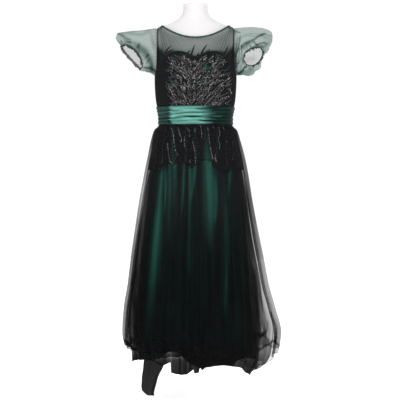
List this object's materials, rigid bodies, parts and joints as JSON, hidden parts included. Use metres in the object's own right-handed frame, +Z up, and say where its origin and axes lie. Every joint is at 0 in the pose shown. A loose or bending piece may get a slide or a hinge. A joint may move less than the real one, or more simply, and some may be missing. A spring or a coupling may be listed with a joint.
{
  "type": "evening dress on a dress form",
  "caption": "Floor-length evening dress with sheer yoke, puffed sleeves, pleated sash, lace peplum and layered tulle skirt, on a limbless dress form with a round base.",
  "frame": {"origin": "centre of the underside of the stand's base, on the floor", "axes": "+Z up along the pole, -Y out of the dress's front, +X to the right of a viewer facing the front"},
  "size_m": [0.7135, 0.589, 1.6813],
  "materials": {
    "form_shell": "smooth white shell",
    "stand_pole": "white enamel",
    "stand_base": "white enamel",
    "bodice_net": "sheer black net with feathery embroidery",
    "underbodice": "dark green satin lining",
    "binding": "rolled dark green binding",
    "organza": "crisp sheer organza",
    "cuff": "gathered organza edge",
    "sash_satin": "glossy pleated satin",
    "skirt_satin": "glossy satin",
    "tulle": "fine black tulle",
    "lace": "black lace with beaded trails",
    "zip_tape": "woven tape",
    "zip_metal": "dark metal"
  },
  "bodies": {
    "dress_and_form": {"form_torso": "form_shell", "stand_pole": "stand_pole", "stand_base": "stand_base", "bodice_front": "bodice_net", "bodice_back_left": "bodice_net", "bodice_back_right": "bodice_net", "underbodice_front": "underbodice", "underbodice_back_left": "underbodice", "underbodice_back_right": "underbodice", "neck_binding": "binding", "sleeve_left": "organza", "sleeve_right": "organza", "cuff_frill_left": "cuff", "cuff_frill_right": "cuff", "sash_front": "sash_satin", "sash_back_left": "sash_satin", "sash_back_right": "sash_satin", "satin_skirt_front": "skirt_satin", "satin_skirt_back": "skirt_satin", "tulle_under_front": "tulle", "tulle_under_back": "tulle", "hem_tail": "tulle", "peplum_front": "lace", "peplum_back": "lace", "tulle_over_front": "tulle", "tulle_over_back": "tulle", "back_zip": "zip_tape", "zip_slider": "zip_metal"},
    "pull_tab": {"zip_pull": "zip_metal"}
  },
  "joints": [
    {"name": "pull_tab_swing", "type": "hinge", "parent": "dress_and_form", "child": "pull_tab", "pos_m": [0, 0.1001, 1.5365], "axis": [1, 0, 0], "range_deg": [0, 110]}
  ]
}
